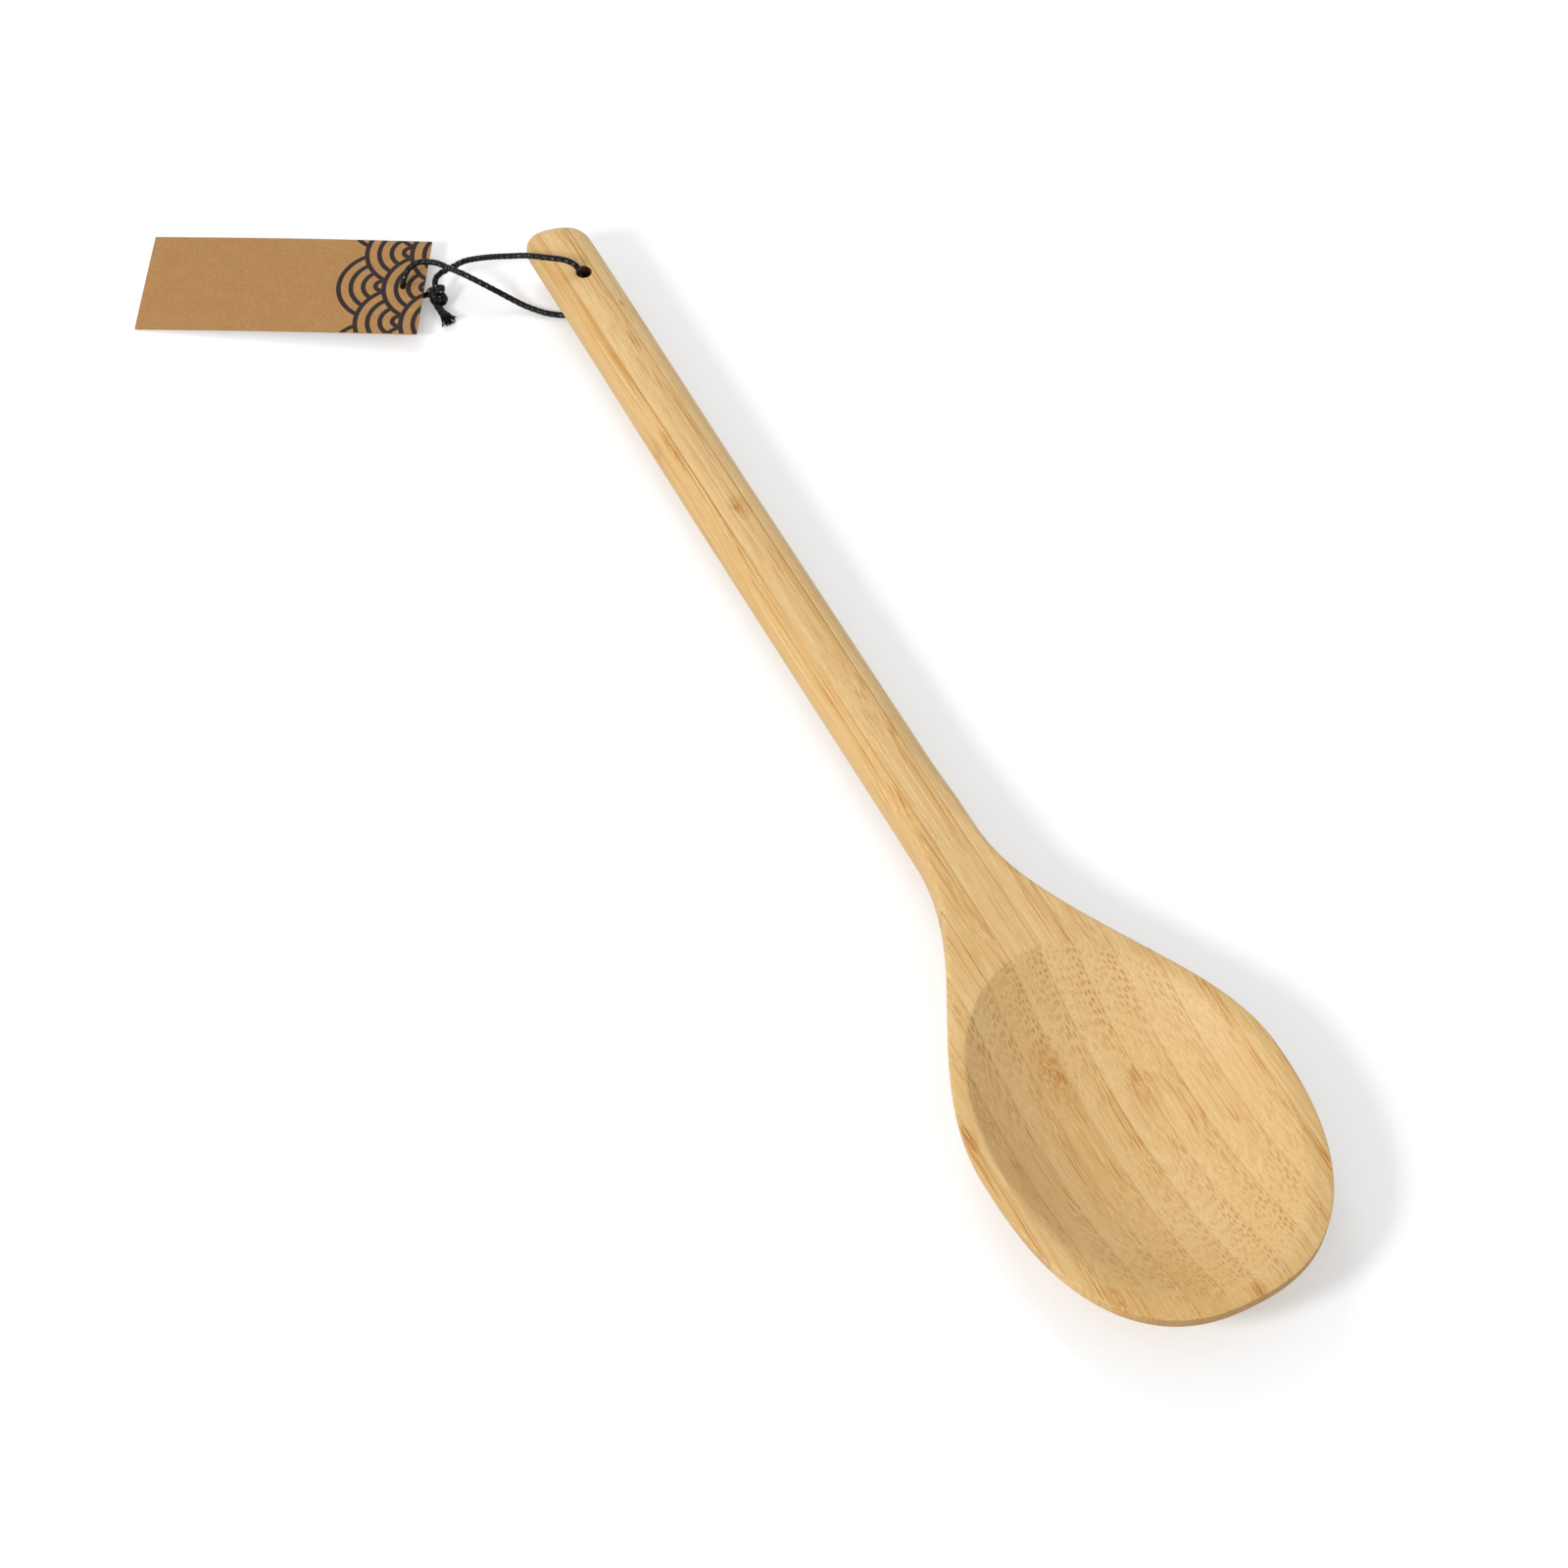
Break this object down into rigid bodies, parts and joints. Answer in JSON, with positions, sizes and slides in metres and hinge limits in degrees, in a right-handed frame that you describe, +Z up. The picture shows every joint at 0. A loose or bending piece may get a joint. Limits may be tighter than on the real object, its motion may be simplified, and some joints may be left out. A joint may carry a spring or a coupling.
{
  "type": "serving spoon",
  "caption": "A long bamboo serving spoon carved from a board of glued strips, with a round handle, a deep oval scoop, and a black hanging cord with a kraft card tag.",
  "frame": {"origin": "the floor point under the middle of the spoon's own box, cord and tag left out", "axes": "+X across the spoon to the right seen from above with the tip towards the viewer, +Y along the spoon from the tip of the bowl to the butt of the handle, +Z up out of the scoop"},
  "size_m": [0.1365, 0.3838, 0.0202],
  "materials": {
    "bamboo": "bare bamboo, sanded and lightly oiled",
    "cord": "black waxed braid",
    "card": null
  },
  "bodies": {
    "spoon": {"strip_center": "bamboo", "strip_left_1": "bamboo", "strip_left_2": "bamboo", "strip_left_3": "bamboo", "strip_left_4": "bamboo", "strip_left_5": "bamboo", "strip_right_1": "bamboo", "strip_right_2": "bamboo", "strip_right_3": "bamboo", "strip_right_4": "bamboo", "strip_right_5": "bamboo"},
    "cord_loop": {"cord_upper": "cord", "cord_lower": "cord", "cord_knot": "cord", "cord_tail": "cord"},
    "tag": {"tag": "card"}
  },
  "joints": [
    {"name": "loop_swing", "type": "hinge", "parent": "spoon", "child": "cord_loop", "pos_m": [0, 0.1451, 0.0093], "axis": [0, 0, 1], "range_deg": [-200, 90]},
    {"name": "tag_swivel", "type": "hinge", "parent": "cord_loop", "child": "tag", "pos_m": [-0.0374, 0.1715, 0.00374], "axis": [-0.0416, 0.0255, 0.9988], "range_deg": [-26, 14]}
  ]
}
